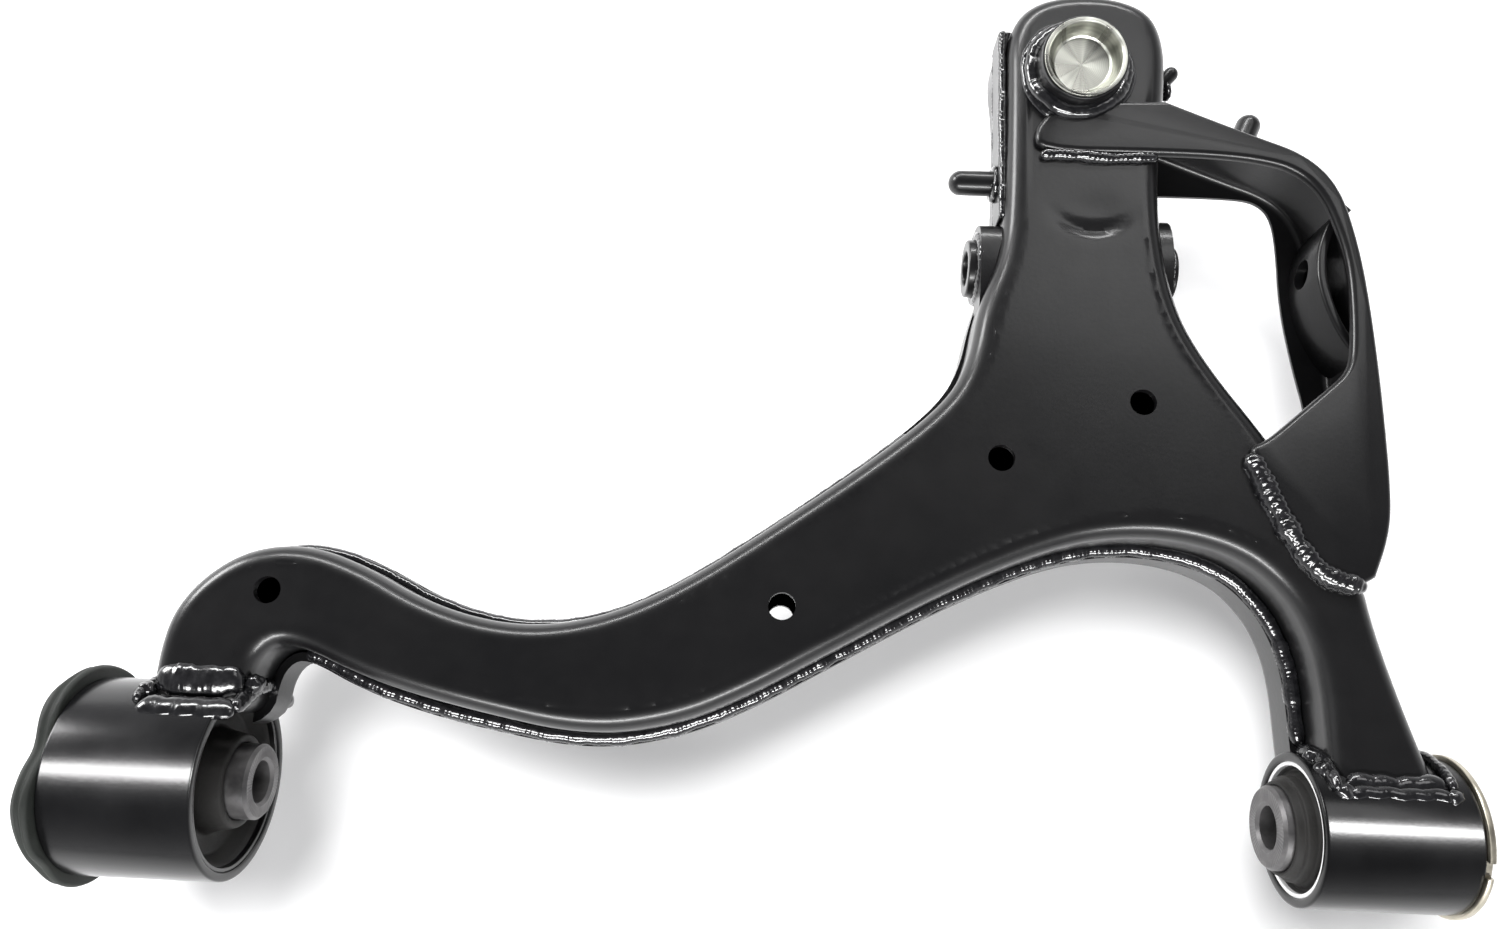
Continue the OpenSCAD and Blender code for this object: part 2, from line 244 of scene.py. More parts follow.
def corner_cut(points, closed=True):
    """One pass of corner cutting, as in the CAD source."""
    p = np.array(points, float)
    if closed:
        q = np.roll(p, -1, 0)
        return np.stack([0.75 * p + 0.25 * q, 0.25 * p + 0.75 * q], 1).reshape(-1, 2)
    a, b = p[:-1], p[1:]
    inner = np.stack([0.75 * a + 0.25 * b, 0.25 * a + 0.75 * b], 1).reshape(-1, 2)
    return np.vstack([p[:1], inner, p[-1:]])


def softened(points, passes, closed=True):
    for _ in range(passes):
        points = corner_cut(points, closed)
    return points


def to_right(v):
    return np.stack([v[:, 1], -v[:, 0]], 1)


def unit_rows(v):
    return v / np.maximum(np.linalg.norm(v, axis=1), 1e-9)[:, None]


def inset(p, d):
    """Closed clockwise outline moved inward by d; corners tighter than d close to a point."""
    before = unit_rows(p - np.roll(p, 1, 0))
    after = unit_rows(np.roll(p, -1, 0) - p)
    middle = unit_rows(to_right(before) + to_right(after))
    stretch = np.maximum(0.5, (middle * to_right(after)).sum(1))
    q = p + middle * (d / stretch)[:, None]
    folded = ((np.roll(q, -1, 0) - q) * after).sum(1) < 0.02
    if folded.any():
        start = int(np.argmin(folded))
        run = []
        for k in range(start, start + len(p) + 1):
            i = k % len(p)
            run.append(i)
            if not folded[i]:
                q[run] = q[run].mean(0)
                run = []
    return q


def smooth_step(x, low, high):
    t = min(1, max(0, (x - low) / (high - low)))
    return t * t * (3 - 2 * t)


def resample(p, spacing, closed=True):
    p = np.array(p, float)
    q = np.vstack([p, p[:1]]) if closed else p
    step = np.linalg.norm(np.diff(q, axis=0), axis=1)
    run = np.concatenate([[0], np.cumsum(step)])
    count = max(4, int(round(run[-1] / spacing)))
    at = np.linspace(0, run[-1], count, endpoint=not closed)
    return np.stack([np.interp(at, run, q[:, k]) for k in range(q.shape[1])], 1)


OUTER_EDGE = [(-467, 24), (-467, 50), (-463, 66), (-452, 80), (-436, 90), (-415, 92.5),
              (-392, 85.5), (-366, 72), (-340, 65), (-316, 64.5), (-290, 71), (-262, 86),
              (-228, 110), (-193, 136), (-165, 160), (-155, 178), (-151, 203), (-142, 226),
              (-140, 250), (-139, 300)]
NECK_END = [(-139, 326), (-132, 340), (-116, 346.5), (-94, 346.5), (-78, 340),
            (-72, 326), (-72, 306)]
RIGHT_EDGE = [(-76, 271), (-77, 240), (-72, 205), (-60, 181), (-36, 149), (-14, 114),
              (-3, 92), (-1, 80), (4, 61), (12, 36), (18, 20), (20, 6)]
UPPER_INNER = [(-20, 6), (-20.5, 30), (-21, 52), (-24, 70), (-32, 87), (-47, 101),
               (-70, 108), (-96, 108.5), (-122, 103), (-162, 85), (-212, 56), (-240, 40),
               (-266, 28.5), (-300, 23), (-345, 31), (-375, 38), (-395, 45), (-410, 51.5),
               (-422, 53), (-430, 44), (-431, 24)]
LOWER_INNER = [(-20, 6), (-22.5, 30), (-23.5, 52), (-26.5, 69), (-34, 85), (-48, 99),
               (-70, 106.5), (-96, 107.5), (-122, 102), (-162, 84), (-212, 55), (-240, 39),
               (-266, 27.5), (-300, 21), (-345, 28), (-375, 35), (-396, 42.5), (-411, 50),
               (-422, 52), (-430, 43), (-431, 24)]
TUCK = 3.0


def smooth_plan(corners):
    return resample(softened(corners, 3), 3.0)


def tucked(x, y):
    """The lower sheet's wall is tucked under the upper one along the neck's long side."""
    return x + TUCK * smooth_step(y, 150, 195), y


PLAN = smooth_plan(OUTER_EDGE + NECK_END + RIGHT_EDGE + UPPER_INNER)
LOWER_OUTER = [tucked(x, y) for x, y in OUTER_EDGE]
LOWER_PLAN = smooth_plan(LOWER_OUTER + NECK_END + RIGHT_EDGE + LOWER_INNER)

# ---- materials


class Nodes:
    """Short helper round one material's node tree."""

    def __init__(self, name, **sockets):
        self.material = bpy.data.materials.new(name)
        self.material.use_nodes = True
        self.tree = self.material.node_tree
        self.shader = self.tree.nodes["Principled BSDF"]
        for key, value in sockets.items():
            self.shader.inputs[key.replace("_", " ")].default_value = value

    def add(self, kind, **settings):
        node = self.tree.nodes.new("ShaderNode" + kind)
        for key, value in settings.items():
            if key.startswith("in_"):
                node.inputs[key[3:].replace("_", " ")].default_value = value
            else:
                setattr(node, key, value)
        return node

    def link(self, a, out, b, into):
        self.tree.links.new(a.outputs[out], b.inputs[into])

    def place(self, stretch=(1, 1, 1)):
        """Object coordinates in metres, stretched along each axis."""
        coords = self.add("TexCoord")
        mapping = self.add("Mapping", in_Scale=stretch)
        self.link(coords, "Object", mapping, "Vector")
        return mapping

    def noise(self, place, scale, detail=3.0, roughness=0.5):
        tex = self.add("TexNoise", in_Scale=scale, in_Detail=detail, in_Roughness=roughness)
        self.link(place, "Vector", tex, "Vector")
        return tex

    def ramp(self, source, stops, out="Fac"):
        ramp = self.add("ValToRGB")
        for element, (at, colour) in zip(ramp.color_ramp.elements, stops):
            element.position = at
            element.color = (*colour, 1)
        self.link(source, out, ramp, "Fac")
        return ramp

    def roughen(self, source, low, high):
        """Roughness that follows a noise between two values."""
        node = self.add("MapRange", in_From_Min=0.3, in_From_Max=0.7, in_To_Min=low, in_To_Max=high)
        self.link(source, "Fac", node, "Value")
        self.link(node, "Result", self.shader, "Roughness")

    def clouds(self, place, texture, tones, stops=(0.3, 0.7), rough=None):
        """Base colour that drifts between two tones with a soft noise; roughness can follow it."""
        cloud = self.noise(place, *texture)
        self.tint = self.ramp(cloud, list(zip(stops, tones)))
        self.link(self.tint, "Color", self.shader, "Base Color")
        if rough:
            self.roughen(cloud, *rough)
        return cloud

    def bump(self, source, strength, distance, after=None, out="Fac"):
        node = self.add("Bump", in_Strength=strength, in_Distance=distance)
        self.link(source, out, node, "Height")
        if after is not None:
            self.link(after, "Normal", node, "Normal")
        self.link(node, "Normal", self.shader, "Normal")
        return node


def black_paint():
    m = Nodes("black_paint", Metallic=0.0, IOR=1.45, Coat_Weight=0.15, Coat_Roughness=0.12)
    place = m.place()
    m.clouds(place, (28, 4, 0.55), ((0.004, 0.004, 0.0045), (0.007, 0.0068, 0.0072)))
    smear = m.noise(place, 90, 5, 0.6)
    m.roughen(smear, 0.29, 0.34)
    peel = m.noise(place, 620, 2, 0.5)
    first = m.bump(peel, 0.10, 0.0003)
    dust = m.add("TexVoronoi", in_Scale=260.0)
    m.link(place, "Vector", dust, "Vector")
    specks = m.ramp(dust, [(0.02, (1, 1, 1)), (0.05, (0, 0, 0))], "Distance")
    m.bump(specks, 0.10, 0.0002, first, "Color")
    return m.material


def weld_paint():
    m = Nodes("weld_paint", Metallic=0.0, IOR=1.5, Coat_Weight=0.6, Coat_Roughness=0.06)
    place = m.place()
    tones = ((0.003, 0.003, 0.0035), (0.009, 0.009, 0.010))
    m.clouds(place, (300, 4, 0.6), tones, (0.35, 0.7), (0.12, 0.24))
    rough = m.noise(place, 520, 3, 0.55)
    m.bump(rough, 0.2, 0.0005)
    return m.material


def housing_paint():
    """Paint over a drawn tube, with fine lines along the pivot axis."""
    m = Nodes("housing_paint", Metallic=0.0, IOR=1.35, Coat_Weight=0.1, Coat_Roughness=0.15)
    place = m.place()
    tones = ((0.0018, 0.0018, 0.0020), (0.0035, 0.0035, 0.0038))
    m.clouds(place, (40, 4, 0.55), tones, rough=(0.22, 0.27))
    lines = m.noise(m.place((30, 500, 500)), 1.0)
    first = m.bump(lines, 0.05, 0.0003)
    peel = m.noise(place, 700, 2, 0.5)
    m.bump(peel, 0.06, 0.0003, first)
    return m.material


def rubber(name, dark, light, bump=0.35):
    m = Nodes(name, Metallic=0.0, IOR=1.5, Specular_IOR_Level=0.35)
    place = m.place()
    m.clouds(place, (60, 5, 0.6), (dark, light), (0.3, 0.72), (0.55, 0.78))
    grain = m.noise(place, 1400, 4, 0.7)
    first = m.bump(grain, bump, 0.0003)
    dents = m.noise(place, 150, 3, 0.5)
    m.bump(dents, 0.25, 0.0006, first)
    return m.material


def steel(name, dark, light, rough, metallic=1.0):
    m = Nodes(name, Metallic=metallic)
    place = m.place()
    m.clouds(place, (90, 5, 0.6), (dark, light), rough=rough)
    scratch = m.noise(place, 900, 4, 0.65)
    m.bump(scratch, 0.15, 0.0002)
    return m.material


def turned_steel():
    """Bright steel with fine turning rings about the piece's own axis; its base colour is lighter in some sectors
    round that axis, a painted highlight standing in for the turned face's bow-tie reflection.
    """
    m = Nodes("turned_steel", Metallic=1.0, Anisotropic=0.85)
    coords = m.add("TexCoord")
    rings = m.add("TexWave", wave_type="RINGS", rings_direction="Z", in_Scale=420.0, in_Distortion=0.0)
    m.link(coords, "Object", rings, "Vector")
    flat = m.add("VectorMath", operation="MULTIPLY")
    flat.inputs[1].default_value = (1, 1, 0)
    m.link(coords, "Object", flat, 0)
    outward = m.add("VectorMath", operation="NORMALIZE")
    m.link(flat, "Vector", outward, 0)
    # painted highlight: sectors round the axis, lighter in base colour, copy the bow-tie reflection of the turned
    # face; roughness follows the same sectors
    sheen_sectors = m.noise(outward, 1.5, 1, 0.5)
    m.roughen(sheen_sectors, 0.20, 0.42)
    light = m.ramp(sheen_sectors, [(0.40, (0.34, 0.34, 0.31)), (0.62, (0.76, 0.77, 0.70))])
    fine = m.ramp(rings, [(0.2, (0.86, 0.86, 0.86)), (0.8, (1.0, 1.0, 1.0))])
    tint = m.add("Mix", data_type="RGBA", blend_type="MULTIPLY", in_Factor=1.0)
    colour_a, colour_b, colour_out = 6, 7, 2
    m.link(light, "Color", tint, colour_a)
    m.link(fine, "Color", tint, colour_b)
    m.link(tint, colour_out, m.shader, "Base Color")
    tangent = m.add("Tangent", direction_type="RADIAL", axis="Z")
    m.link(tangent, "Tangent", m.shader, "Tangent")
    return m.material


def bearing_plastic():
    m = Nodes("bearing_plastic", Metallic=0.0)
    tones = ((0.62, 0.60, 0.52), (0.76, 0.74, 0.66))
    cloud = m.clouds(m.place(), (200, 3, 0.5), tones, rough=(0.4, 0.55))
    m.bump(cloud, 0.1, 0.0002)
    return m.material


PAINT = black_paint()
WELD = weld_paint()
HOUSING = housing_paint()
BUSH_RUBBER = rubber("bush_rubber", (0.007, 0.0065, 0.006), (0.016, 0.015, 0.014))
STOP_RUBBER = rubber("stop_rubber", (0.012, 0.014, 0.012), (0.028, 0.032, 0.028), 0.5)
BOOT_RUBBER = rubber("boot_rubber", (0.010, 0.010, 0.010), (0.022, 0.022, 0.022), 0.25)
SLEEVE_STEEL = steel("sleeve_steel", (0.09, 0.088, 0.09), (0.19, 0.185, 0.185), (0.40, 0.58), 0.85)
PLATED_STEEL = steel("plated_steel", (0.42, 0.39, 0.32), (0.62, 0.58, 0.48), (0.28, 0.45))
STUD_STEEL = steel("stud_steel", (0.45, 0.44, 0.42), (0.62, 0.61, 0.58), (0.22, 0.36))
TURNED = turned_steel()
NYLON = bearing_plastic()

# ---- pressings

EDGE_R = 7.6
HOLES = ((-426, 73), (-227, 75), (-143, 137), (-87, 162))
HOLE_R = 5.3
FAR = 60


def ring_at(p, z):
    return [(x, y, z) for x, y in p]


def tray(plan, rim, top, side, steps=9):
    """Closed sheet tray with rolled edges; side 1 opens downward and -1 opens upward."""
    angles = [math.pi / 2 * i / steps for i in range(steps + 1)]

    def rolled(depth, a):
        """Ring at a depth in the sheet, part of the way round the rolled edge."""
        r = EDGE_R - depth
        return ring_at(inset(plan, depth + r * (1 - math.cos(a))), top - depth - r * (1 - math.sin(a)))

    def turned(ring):
        return [(x, y, side * z) for x, y, z in ring]

    outside = [ring_at(plan, rim)] + [rolled(0, a) for a in angles]
    inside = [rolled(SHEET, a) for a in reversed(angles)] + [ring_at(inset(plan, SHEET), rim)]
    bm = bmesh.new()
    outer_rows = loft(bm, [turned(q) for q in outside], cap=(False, True))
    inner_rows = loft(bm, [turned(q) for q in inside], cap=(True, False))
    count = len(plan)
    for i in range(count):
        j = (i + 1) % count
        bm.faces.new((outer_rows[0][i], outer_rows[0][j], inner_rows[-1][j], inner_rows[-1][i]))
    bmesh.ops.remove_doubles(bm, verts=bm.verts, dist=0.01)
    return bm


def gridded(bm, level, step=2.0):
    """Splits the big flat face at a level into a grid and returns its inner points."""
    flat = [f for f in bm.faces if all(abs(v.co.z - level) < 1e-4 for v in f.verts)]
    face = max(flat, key=lambda f: len(f.verts))
    rim = set(face.verts)
    xs = [v.co.x for v in rim]
    ys = [v.co.y for v in rim]
    geometry = {face}
    for axis, low, high in ((0, min(xs), max(xs)), (1, min(ys), max(ys))):
        at = low + step
        while at < high - 1:
            co = [0, 0, level]
            co[axis] = at
            no = [0, 0, 0]
            no[axis] = 1
            faces = [f for f in geometry if f.is_valid]
            edges = {e for f in faces for e in f.edges}
            verts = {v for f in faces for v in f.verts}
            cut = bmesh.ops.bisect_plane(bm, geom=faces + list(edges) + list(verts),
                                         plane_co=co, plane_no=no, dist=1e-4)
            geometry = {f for f in faces if f.is_valid}
            geometry |= {g for g in cut["geom"] if isinstance(g, bmesh.types.BMFace)}
            at += step
    flat = [f for f in geometry if f.is_valid]
    inner = {v for f in flat for v in f.verts}
    border = {v for v in inner if any(f not in geometry for f in v.link_faces)} | (rim & inner)
    return inner - border


def bell(d, width):
    return math.exp(-(d / width) ** 2)


DIMPLE_X, DIMPLE_Y, DIMPLE_R = -105, 258, 22.5


def pressed_relief(x, y):
    """Shallow shapes pressed into the top sheet, in millimetres."""
    arc_r = math.hypot(x - DIMPLE_X, y - DIMPLE_Y) - DIMPLE_R
    arc_a = math.degrees(math.atan2(x - DIMPLE_X, DIMPLE_Y - y))
    dimple = -1.9 * bell(arc_r, 2.2) * bell(arc_a, 30)
    behind = -0.6 * bell(math.hypot((x - DIMPLE_X) / 1.5, y - DIMPLE_Y + 15), 9)
    crown = 0.35 * math.sin(x / 37.0) * math.sin(y / 29.0 + 1)
    return dimple + behind + crown


def openings_in_sheet():
    """Cutters for both housings, the joint cup, the cross tube and the four round holes."""
    cutters = [
        rod_cutter((REAR_X, 0, 0), (1, 0, 0), -REAR_LEN / 2 - 1, REAR_LEN / 2 + 1, REAR_R - 0.3, 128),
        rod_cutter((0, 0, 0), (1, 0, 0), -FRONT_LEN / 2 - 1, FRONT_LEN / 2 + 1, FRONT_R - 0.3, 128),
        rod_cutter(BALL, -STUD_DOWN, -FAR, FAR, CUP_R - 0.2),
        rod_cutter((-170, TUBE[1], TUBE[2]), (1, 0, 0), 0, 130, TUBE_R - 0.2, 64),
    ]
    for x, y in HOLES:
        cutters.append(rod_cutter((x, y, 0), (0, 0, 1), -FAR, FAR, HOLE_R, 40))
    return cutters


def build_upper_pressing():
    bm = tray(PLAN, UPPER_RIM, TOP, 1)
    gridded(bm, TOP - SHEET, 15)
    for v in gridded(bm, TOP):
        v.co.z += pressed_relief(v.co.x, v.co.y)
    piece = finish_mesh("upper_shell", bm, PAINT, node="upper_pressing")
    cut_with(piece, openings_in_sheet(), 42)


def build_lower_pressing():
    bm = tray(inset(LOWER_PLAN, -SHEET), -LAP_Z, -BOTTOM, -1)
    gridded(bm, BOTTOM + SHEET, 15)
    gridded(bm, BOTTOM, 15)
    piece = finish_mesh("lower_shell", bm, PAINT, node="lower_pressing")
    boot_hole = rod_cutter(BALL, -STUD_DOWN, -FAR, -14, BOOT_ROOM)
    cut_with(piece, openings_in_sheet() + [boot_hole], 42)


build_upper_pressing()
build_lower_pressing()

# ---- turned and drawn pieces


def ring_piece(name, node, profile, place, material, body="arm", radius=0.6, turns=128, angle=35):
    """A turned ring with rounded corners."""
    bm = lathe(rounded(profile, radius, 4), place, turns)
    return finish_mesh(name, bm, material, body, angle, node)


def along_x(x):
    return axis_frame((x, 0, 0), (1, 0, 0))


def build_housings():
    for name, x, r, length in (("rear_housing", REAR_X, REAR_R, REAR_LEN),
                               ("front_housing", 0, FRONT_R, FRONT_LEN)):
        half = length / 2
        profile = [(r, -half), (r, half), (r - WALL, half), (r - WALL, -half)]
        ring_piece(name + "_tube", name, profile, along_x(x), HOUSING, radius=1.1, turns=192)
    rear_in = REAR_R - WALL
    half = REAR_LEN / 2
    profile = [(rear_in, -half), (rear_in, half - 0.8), (rear_in - CAN, half - 0.8), (rear_in - CAN, -half)]
    can = ring_piece("rear_can", "rear_outer_sleeve", profile, along_x(REAR_X), PAINT, radius=0.4)


def build_front_can():
    """Thin can with a flange at its far end; two notches break the flange."""
    half = FRONT_LEN / 2
    bore = FRONT_R - WALL
    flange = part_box("front_outer_sleeve")[1].x / MM
    rim = FRONT_R + 1.5
    profile = [(bore - CAN, -half + 0.8), (bore, -half + 0.8), (bore, half), (rim, half),
               (rim, flange), (bore - CAN, flange)]
    piece = ring_piece("front_can", "front_outer_sleeve", profile, along_x(0), PLATED_STEEL,
                       radius=[0.3, 0.3, 0.2, 0.6, 1.0, 1.2], turns=160)
    cutters = []
    for a in (20, 200):
        bm = bmesh.new()
        bmesh.ops.create_cube(bm, size=1)
        turn = Matrix.Rotation(math.radians(a), 4, "X")
        on_rim = Matrix.Translation((half + 3, 0, FRONT_R + 2))
        size = Matrix.Diagonal((10, 6, 6, 1))
        bmesh.ops.transform(bm, verts=bm.verts, matrix=turn @ on_rim @ size)
        cutters.append(cutter_from(bm))
    cut_with(piece, cutters, 35)
    piece.data.materials.append(BUSH_RUBBER)
    for face in piece.data.polygons:
        face.material_index = 0 if face.center.x > (half - 3) * MM else 1


def kidney_cutter(x, radius, width, middle, spread, depth):
    """Curved slot with round ends, along X, centred on angle middle (degrees)."""
    bm = bmesh.new()
    count = 28
    inner = []
    outer = []
    for k in range(count + 1):
        a = math.radians(middle - spread + 2 * spread * k / count)
        taper = math.sqrt(max(0.0, 1 - abs(2 * k / count - 1) ** 6))
        half = max(0.15, width / 2 * taper)
        for side, line in ((-1, inner), (1, outer)):
            r = radius + width / 2 + side * half
            line.append((r * math.cos(a), r * math.sin(a)))
    outline = inner + outer[::-1]
    loft(bm, [[(x - depth, p, q) for p, q in outline], [(x + depth, p, q) for p, q in outline]])
    return cutter_from(bm)


def build_rubbers():
    """Moulded rubber between can and inner sleeve, with a raised collar and two voids."""
    half = REAR_LEN / 2
    r = REAR_R - WALL - CAN
    s = REAR_SLEEVE_R + 0.05
    profile = [(s, -half - 1), (s + 4, -half - 1), (s + 5.5, -half + 9), (r - 3, -half + 9), (r, -half + 2),
               (r, half - 2.5), (r - 1.5, half - 4.5), (r - 4.5, half - 10), (s + 6, half - 10.5),
               (s + 4.4, half - 4), (s + 3.2, half + 1.4), (s, half + 1.4)]
    rear = ring_piece("rear_rubber_body", "rear_rubber", profile, along_x(REAR_X), BUSH_RUBBER,
                      radius=1.6, angle=60)
    cut_with(rear, [kidney_cutter(REAR_X, s + 7.6, 6.0, a, 38, FAR) for a in (90, 270)], 50)

    half = FRONT_LEN / 2
    r = FRONT_R - WALL - CAN
    s = FRONT_SLEEVE_R + 0.05
    profile = [(s, -half - 5.5), (s + 1.8, -half - 5.5), (s + 2.3, -half - 2.6), (s + 3.8, -half - 2.2),
               (s + 4.2, -half + 1), (s + 5.2, -half + 2.5), (r - 1.6, -half + 4), (r, -half + 1.5),
               (r, half - 1.5), (r - 1.6, half - 4), (s + 4.2, half - 4), (s + 3, half + 2), (s, half + 2)]
    front = ring_piece("front_rubber_body", "front_rubber", profile, along_x(0), BUSH_RUBBER,
                       radius=0.9, angle=60)
    cut_with(front, [kidney_cutter(0, s + 5.0, 2.2, a, 26, FAR) for a in (120, 300)], 50)


def build_inner_sleeves():
    """Thick steel sleeves; the clamped end faces carry fine radial serrations."""
    for name, node, x, r, length in (
            ("rear_sleeve_tube", "rear_inner_sleeve", REAR_X, REAR_SLEEVE_R, REAR_LEN),
            ("front_sleeve_tube", "front_inner_sleeve", 0, FRONT_SLEEVE_R, FRONT_LEN)):
        half = length / 2 + SLEEVE_OUT
        profile = []
        for side in (-1, 1):
            face = [(BOLT_R, half - 1.2), (BOLT_R + 1.2, half), (BOLT_R + 1.8, half), (r - 1.6, half),
                    (r - 1.1, half - 0.1), (r, half - 1.4), (r, half - 6)]
            face = [(q, side * h) for q, h in face]
            profile += face if side > 0 else face[::-1]
        profile = profile[::-1]

        def serrate(q, h, a, half=half, r=r):
            if abs(h) > half - 0.05 and BOLT_R + 1.5 < q < r - 1.3:
                return q, h - math.copysign(0.22 * abs(math.sin(30 * a)), h)
            return q, h

        bm = lathe(profile, along_x(x), 360, warp=serrate)
        finish_mesh(name, bm, SLEEVE_STEEL, "rear_sleeve" if x else "front_sleeve", 30, node)


STOP_R = 43.0
STOP_FLATS = ((72, 7.5, 20), (147, 2.0, 14), (252, 7.5, 20))


def stop_reach(around):
    """Radius of the stop's rim at an angle in degrees from +Y toward +Z."""
    reach = STOP_R
    for centre, depth, width in STOP_FLATS:
        gap = abs((around - centre + 540) % 360 - 180)
        reach -= depth * bell(gap, width)
    return reach


def build_end_stop():
    """Rubber stop over the far end of the rear housing, with flats and waves round its rim."""
    place = axis_frame((REAR_X - REAR_LEN / 2, 0, 0), (-1, 0, 0))
    turn = place.to_3x3()
    full = 39.2

    def warp(q, h, a):
        way = turn @ Vector((math.cos(a), math.sin(a), 0))
        around = math.degrees(math.atan2(way.z, way.y))
        share = smooth_step(q, 24, 36)
        ripple = 0.5 * noise.noise(Vector((3 * math.cos(a), 3 * math.sin(a), h / 5)))
        reach = 1 + share * (stop_reach(around) / full - 1)
        return q * reach + share * (ripple - 0.3), h + share * ripple * 0.8

    profile = [(19.2, 0), (38.6, 0), (39.2, 1.8), (37.6, 3.2), (38.4, 5.0), (36.6, 7.4), (33.5, 8.6),
               (28, 8.8), (24, 8.5), (21.5, 9.5), (19.2, 11)]
    bm = lathe(rounded(profile, 1.2, 4), place, 240, warp=warp)
    finish_mesh("rear_stop", bm, STOP_RUBBER, "arm", 60, "rear_end_flange")


def at_ball():
    return axis_frame(BALL, -STUD_DOWN)


def build_ball_joint():
    place = at_ball()
    shell_r, seat_r, cap_z, low = CUP_R - 2.4, CUP_R - 1.5, 15.5, -14.0
    cup = [(13.9, low), (CUP_R + 3, low), (CUP_R + 3, low + 3), (CUP_R, low + 6), (CUP_R, RIM_H - 1.2),
           (CUP_R - 0.3, RIM_H + 0.1), (seat_r + 0.3, RIM_H + 0.1), (seat_r, RIM_H - 2), (seat_r, cap_z),
           (shell_r, cap_z), (shell_r, -9.2), (12.3, -9.2)]
    ring_piece("joint_cup", "ball_housing", cup, place, PAINT, radius=0.5, turns=160)

    floor = RIM_H - 6.5
    cap = [(0, cap_z), (seat_r, cap_z), (seat_r, RIM_H), (seat_r + 0.55, RIM_H + 0.25),
           (seat_r + 0.3, RIM_H + 0.85), (seat_r - 1.0, RIM_H + 0.9), (seat_r - 1.5, RIM_H + 0.3),
           (12.3, floor + 0.9), (11.4, floor + 0.15), (6, floor + 0.05), (0, floor)]
    corners = [0, 0.4, 0.2, 0.15, 0.25, 0.3, 0.4, 0.8, 0.8, 0, 0]
    bm = lathe(rounded(cap, corners, 4, closed=False), Matrix(), 192, closed=False)
    piece = finish_mesh("joint_cap", bm, TURNED, None, 30, "dished_cap")
    piece.matrix_world = Matrix.Translation(place.to_translation() * MM) @ place.to_3x3().to_4x4()
    bpy.context.view_layer.update()
    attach(piece, "arm")

    shell = [(shell_r, -9.1), (shell_r, cap_z), (2, cap_z)]
    for k in range(1, 22):
        a = math.radians(83 - k * (83 + 29) / 21)
        shell.append((13.55 * math.cos(a), 13.55 * math.sin(a)))
    shell.append((12.6, -9.1))
    finish_mesh("joint_seat", lathe(shell, place), NYLON, "arm", 30, "bearing_shell")


THREAD_TOP = -61.0
THREAD_END = -82.0
THREAD_R = 7.0
PITCH = 1.5


def build_stud():
    """Ball, neck, taper and threaded end."""
    ball_r, neck_r = 13.5, 7.5
    profile = []
    for k in range(28):
        a = math.radians(90 - k * (90 + 56.2) / 27)
        profile.append((ball_r * math.cos(a), ball_r * math.sin(a)))
    profile += [(neck_r, -12.4), (neck_r, -21), (7.9, -24.5), (9, -29.5), (9.05, -31), (9, -44)]
    profile += [(7.4, -59.6), (6.3, -61.0)]
    h = THREAD_TOP
    while h > THREAD_END + 1.2:
        h -= 0.3
        profile.append((THREAD_R, h))
    profile += [(6.0, THREAD_END), (0, THREAD_END)]

    def thread(q, z, a):
        if THREAD_END + 1 < z < THREAD_TOP and abs(q - THREAD_R) < 1e-6:
            turn = (z / PITCH + a / (2 * math.pi)) % 1.0
            return q - PITCH / 2 * (1 - abs(2 * turn - 1)), z
        return q, z

    bm = lathe(profile, at_ball(), 120, closed=False, warp=thread)
    finish_mesh("joint_stud", bm, STUD_STEEL, "stud", 32, "ball_stud")


def build_boot():
    """Dust boot in two halves that meet at the waist ring, with its clip and neck rings."""
    place = at_ball()
    wall = 1.7
    upper = [(20.9, -14.1), (21.6, -15.2), (22.0, -16.6), (21.8, -18.2), (20.6, -20.0), (18.8, -21.4),
             (18.2, -22.6), (18.0, -23.6)]
    lower = [(18.0, -24.2), (18.2, -25.4), (18.6, -27.2), (18.5, -29.4), (17.3, -32.0), (15.4, -34.6),
             (13.4, -36.6), (12.6, -38.0)]
    for name, node, outer, a, b, start, end in (
            ("boot_upper", "upper_boot", upper, "arm", "boot_waist", -14, -24),
            ("boot_lower", "lower_boot", lower, "boot_waist", "boot_neck", -24, -38)):
        inner = [(r - wall, h) for r, h in outer[::-1]]
        bm = lathe(rounded(outer + inner, 0.7, 3), place)
        piece = finish_mesh(name, bm, BOOT_RUBBER, None, 60, node)
        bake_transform(piece)

    clip = [(21.05, -13.6), (22.2, -13.6), (22.2, -11.2), (21.05, -11.2)]
    ring_piece("boot_clip_ring", "boot_clip", clip, place, PLATED_STEEL, radius=0.35, turns=120)
    waist = [(16.3, -25.1), (18.1, -25.1), (18.1, -22.9), (16.3, -22.9)]
    ring_piece("boot_waist_band", "boot_waist_ring", waist, place, BOOT_RUBBER, "boot_waist",
               radius=0.9, turns=96, angle=60)
    neck = [(9.1, -42.0), (11.6, -42.0), (12.6, -40.6), (12.2, -39.6), (12.7, -38.6), (12.6, -37.8),
            (9.1, -37.8)]
    ring_piece("boot_neck_band", "boot_neck_clip", neck, place, BOOT_RUBBER, "boot_neck",
               radius=0.4, turns=96, angle=60)


build_housings()
build_front_can()
build_rubbers()
build_inner_sleeves()
build_end_stop()
build_ball_joint()
build_stud()
build_boot()

# ---- bracket and small plates

